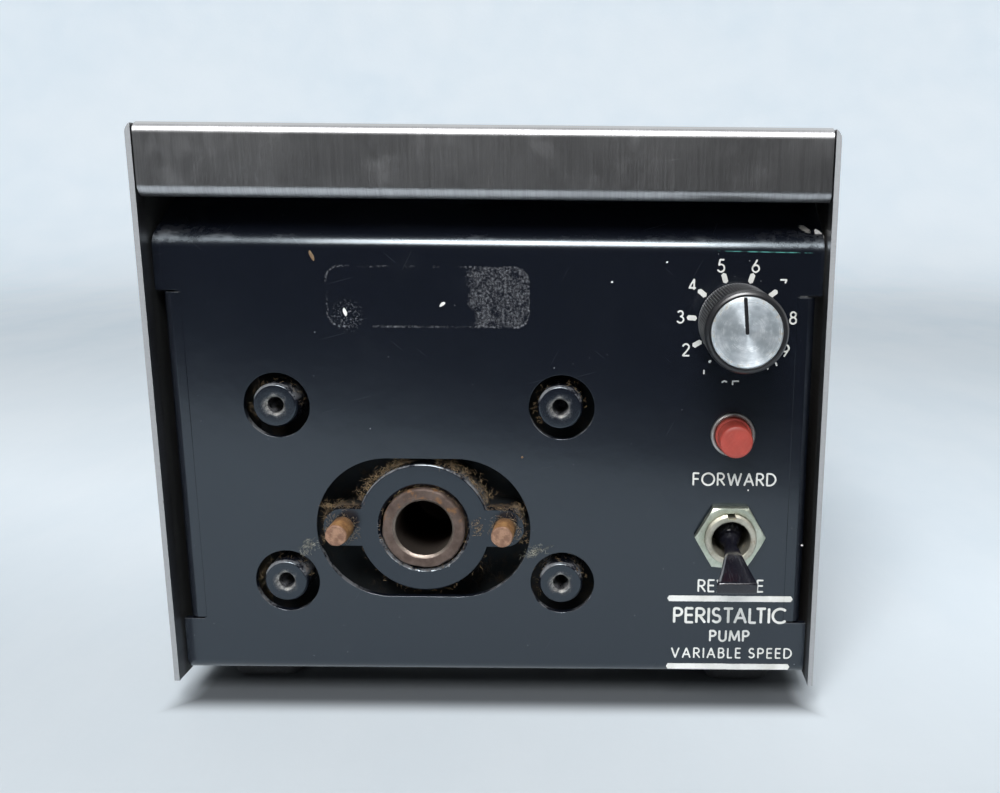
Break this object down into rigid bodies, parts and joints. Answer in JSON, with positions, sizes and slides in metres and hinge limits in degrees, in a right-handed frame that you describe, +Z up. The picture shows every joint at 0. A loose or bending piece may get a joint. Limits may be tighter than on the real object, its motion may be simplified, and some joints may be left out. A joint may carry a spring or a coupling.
{
  "type": "peristaltic pump drive unit",
  "caption": "Bench peristaltic pump drive with the pump head off: steel cover, black panel, hollow drive spindle, speed knob, reset button and direction toggle.",
  "frame": {"origin": "bottom centre of the bounding box, on the surface that the rubber feet stand on", "axes": "+Z up, -Y out of the front panel, +X to the right seen from the front; the spindle axis is along Y"},
  "size_m": [0.1562, 0.215, 0.1349],
  "materials": {
    "stainless_cover": "brushed stainless sheet with fine vertical grain and light scratches",
    "black_paint": "glossy black enamel on sheet steel, scuffed and dusty",
    "zinc_sheet": "zinc-plated sheet steel",
    "rubber": "black moulded rubber",
    "plated_hardware": "dulled nickel and zinc plate",
    "black_casting": "black paint on a machined casting, worn to bare metal at the holes",
    "cast_aluminium": "as-cast aluminium",
    "rusty_stud": "steel stud with an even coat of orange-brown rust",
    "bronze": "oil-filled bearing bronze",
    "rusty_steel": "turned steel, browned with rust and grease",
    "steel": "turned steel",
    "nylon": "natural nylon",
    "brass": "turned brass",
    "ferrite": "sintered ferrite",
    "black_plastic": "black phenolic with a soft gloss",
    "copper": "copper segments",
    "spun_aluminium": "turned aluminium with circular grain",
    "red_plastic": "coral red moulded plastic, faded",
    "circuit_board": "green board laminate"
  },
  "bodies": {
    "housing": {"cover": "stainless_cover", "front_panel": "black_paint", "base_plate": "zinc_sheet", "rear_panel": "black_paint", "foot_front_left": "rubber", "foot_front_right": "rubber", "foot_rear_left": "rubber", "foot_rear_right": "rubber", "cover_screw_front_left": "plated_hardware", "cover_screw_rear_left": "plated_hardware", "cover_screw_front_right": "plated_hardware", "cover_screw_rear_right": "plated_hardware", "gearbox_front_plate": "black_casting", "gearbox_housing": "cast_aluminium", "locating_stud_left": "rusty_stud", "locating_stud_right": "rusty_stud", "standoff_upper_left": "black_casting", "standoff_upper_right": "black_casting", "standoff_lower_left": "black_casting", "standoff_lower_right": "black_casting", "front_bearing": "bronze", "rear_bearing": "bronze", "motor_can": "zinc_sheet", "motor_front_bell": "cast_aluminium", "motor_rear_bell": "cast_aluminium", "motor_magnet_left": "ferrite", "motor_magnet_right": "ferrite", "motor_brush_holder_left": "black_plastic", "motor_brush_holder_right": "black_plastic", "motor_bracket": "zinc_sheet", "speed_control_body": "plated_hardware", "speed_control_nut": "plated_hardware", "reset_switch_body": "black_plastic", "reset_button_ring": "plated_hardware", "reset_button_spring": "steel", "direction_switch_body": "black_plastic", "direction_switch_bushing": "plated_hardware", "direction_switch_nut": "plated_hardware", "speed_control_board": "circuit_board", "heat_sink": "spun_aluminium", "capacitor": "black_plastic", "fuse_holder": "black_plastic", "cord_grommet": "rubber"},
    "output_spindle": {"output_spindle": "rusty_steel", "output_gear": "steel"},
    "intermediate": {"intermediate_shaft": "steel", "intermediate_pinion": "steel", "intermediate_gear": "nylon"},
    "armature": {"motor_shaft": "steel", "motor_pinion": "brass", "armature_core": "steel", "commutator": "copper", "cooling_fan": "nylon"},
    "speed_knob": {"speed_knob": "black_plastic", "knob_cap": "spun_aluminium", "speed_control_shaft": "brass"},
    "reset_button": {"reset_button": "red_plastic"},
    "direction_lever": {"direction_lever": "black_plastic"}
  },
  "joints": [
    {"name": "armature_spin", "type": "hinge", "parent": "housing", "child": "armature", "pos_m": [0.00613, 0, 0.06143], "axis": [0, 1, 0], "continuous": true},
    {"name": "intermediate_spin", "type": "hinge", "parent": "housing", "child": "intermediate", "pos_m": [-0.0166, 0, 0.07455], "axis": [0, 1, 0], "continuous": true},
    {"name": "output_spin", "type": "hinge", "parent": "housing", "child": "output_spindle", "pos_m": [-0.0166, 0, 0.0433], "axis": [0, 1, 0], "continuous": true},
    {"name": "speed_knob_turn", "type": "hinge", "parent": "housing", "child": "speed_knob", "pos_m": [0.0555, -0.08785, 0.0929], "axis": [0, 1, 0], "range_deg": [-171, 158]},
    {"name": "reset_button_press", "type": "slide", "parent": "housing", "child": "reset_button", "axis": [0, 1, 0], "range_m": [0, 0.0022], "stiffness_N_per_m": 250, "springref_m": -0.004, "deforming": ["reset_button_spring"]},
    {"name": "direction_lever_throw", "type": "hinge", "parent": "housing", "child": "direction_lever", "pos_m": [0.0555, -0.08585, 0.0424], "axis": [1, 0, 0], "range_deg": [-30, 0]}
  ],
  "couplings": [
    {"joint": "intermediate_spin", "follows": "armature_spin", "ratio": -0.3125},
    {"joint": "output_spin", "follows": "armature_spin", "ratio": 0.098684}
  ]
}
